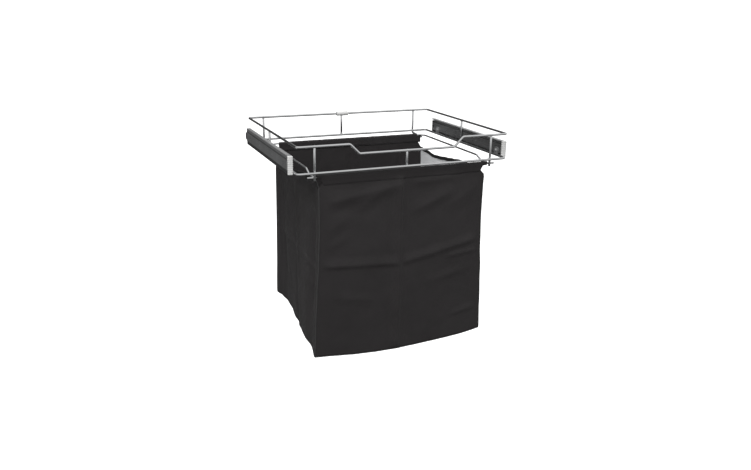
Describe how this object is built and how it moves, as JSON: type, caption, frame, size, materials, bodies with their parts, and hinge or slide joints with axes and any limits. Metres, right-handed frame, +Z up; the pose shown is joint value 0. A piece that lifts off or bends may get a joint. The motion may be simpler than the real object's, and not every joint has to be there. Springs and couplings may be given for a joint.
{
  "type": "pull-out laundry hamper",
  "caption": "Chrome wire basket frame on two full-extension ball-bearing slides, with an open cloth bag hung from a wire bow and a front rod.",
  "frame": {"origin": "middle of the underside of the whole object's box, level with the lowest point of the bag", "axes": "+X to the right along the width between the two cabinet walls, +Y from the front to the back, +Z up; the basket pulls out along -Y"},
  "size_m": [0.6096, 0.4754, 0.583],
  "materials": {
    "chrome_wire": "bright chrome plate",
    "zinc_steel": "zinc-plated rolled steel",
    "white_plastic": "smooth moulded, off-white",
    "black_plastic": "smooth moulded, black",
    "black_cloth": "coated woven polyester",
    "lined_cloth": "woven polyester, black outside and light grey inside",
    "black_tape": "folded grosgrain binding tape"
  },
  "bodies": {
    "cabinet_side": {"left_cabinet_member": "zinc_steel", "right_cabinet_member": "zinc_steel", "left_rear_stop": "black_plastic", "right_rear_stop": "black_plastic"},
    "basket": {"top_rail": "chrome_wire", "lower_rail": "chrome_wire", "front_left_upright": "chrome_wire", "front_centre_upright": "chrome_wire", "front_right_upright": "chrome_wire", "rear_left_upright": "chrome_wire", "rear_centre_upright": "chrome_wire", "rear_right_upright": "chrome_wire", "left_side_upright": "chrome_wire", "right_side_upright": "chrome_wire", "hanger_bow": "chrome_wire", "hanger_front_rod": "chrome_wire", "rear_rail_bumper": "white_plastic", "left_front_mounting_tab": "chrome_wire", "left_rear_mounting_tab": "chrome_wire", "right_front_mounting_tab": "chrome_wire", "right_rear_mounting_tab": "chrome_wire", "left_front_mounting_screw": "zinc_steel", "left_rear_mounting_screw": "zinc_steel", "right_front_mounting_screw": "zinc_steel", "right_rear_mounting_screw": "zinc_steel", "left_basket_member": "zinc_steel", "right_basket_member": "zinc_steel", "left_front_end_cap": "white_plastic", "right_front_end_cap": "white_plastic", "left_lever_rivet": "zinc_steel", "right_lever_rivet": "zinc_steel", "bag_front_panel": "black_cloth", "bag_rear_panel": "black_cloth", "bag_bottom_panel": "black_cloth", "bag_left_panel": "lined_cloth", "bag_right_panel": "lined_cloth", "bag_front_sleeve": "black_cloth", "bag_rear_sleeve": "black_cloth", "bag_left_binding": "black_tape", "bag_right_binding": "black_tape"},
    "left_intermediate": {"left_intermediate_member": "zinc_steel"},
    "right_intermediate": {"right_intermediate_member": "zinc_steel"},
    "left_outer_cage": {"left_outer_ball_cage": "zinc_steel"},
    "right_outer_cage": {"right_outer_ball_cage": "zinc_steel"},
    "left_inner_cage": {"left_inner_ball_cage": "zinc_steel"},
    "right_inner_cage": {"right_inner_ball_cage": "zinc_steel"},
    "left_lever": {"left_release_lever": "black_plastic"},
    "right_lever": {"right_release_lever": "black_plastic"}
  },
  "joints": [
    {"name": "basket_slide", "type": "slide", "parent": "cabinet_side", "child": "basket", "axis": [0, -1, 0], "range_m": [0, 0.4]},
    {"name": "left_intermediate_slide", "type": "slide", "parent": "cabinet_side", "child": "left_intermediate", "axis": [0, -1, 0], "range_m": [0, 0.2]},
    {"name": "right_intermediate_slide", "type": "slide", "parent": "cabinet_side", "child": "right_intermediate", "axis": [0, -1, 0], "range_m": [0, 0.2]},
    {"name": "left_outer_cage_roll", "type": "slide", "parent": "cabinet_side", "child": "left_outer_cage", "axis": [0, -1, 0], "range_m": [0, 0.1]},
    {"name": "right_outer_cage_roll", "type": "slide", "parent": "cabinet_side", "child": "right_outer_cage", "axis": [0, -1, 0], "range_m": [0, 0.1]},
    {"name": "left_inner_cage_roll", "type": "slide", "parent": "cabinet_side", "child": "left_inner_cage", "axis": [0, -1, 0], "range_m": [0, 0.3]},
    {"name": "right_inner_cage_roll", "type": "slide", "parent": "cabinet_side", "child": "right_inner_cage", "axis": [0, -1, 0], "range_m": [0, 0.3]},
    {"name": "left_lever_pivot", "type": "hinge", "parent": "basket", "child": "left_lever", "pos_m": [-0.2968, -0.07465, 0.52965], "axis": [1, 0, 0], "range_deg": [0, 5], "stiffness_Nm_per_rad": 0.1, "springref_deg": -5.73},
    {"name": "right_lever_pivot", "type": "hinge", "parent": "basket", "child": "right_lever", "pos_m": [0.2968, -0.07465, 0.52965], "axis": [1, 0, 0], "range_deg": [-5, 0], "stiffness_Nm_per_rad": 0.1, "springref_deg": 5.73}
  ],
  "couplings": [
    {"joint": "left_intermediate_slide", "follows": "basket_slide", "ratio": 0.5},
    {"joint": "right_intermediate_slide", "follows": "basket_slide", "ratio": 0.5},
    {"joint": "left_outer_cage_roll", "follows": "basket_slide", "ratio": 0.25},
    {"joint": "right_outer_cage_roll", "follows": "basket_slide", "ratio": 0.25},
    {"joint": "left_inner_cage_roll", "follows": "basket_slide", "ratio": 0.75},
    {"joint": "right_inner_cage_roll", "follows": "basket_slide", "ratio": 0.75}
  ]
}
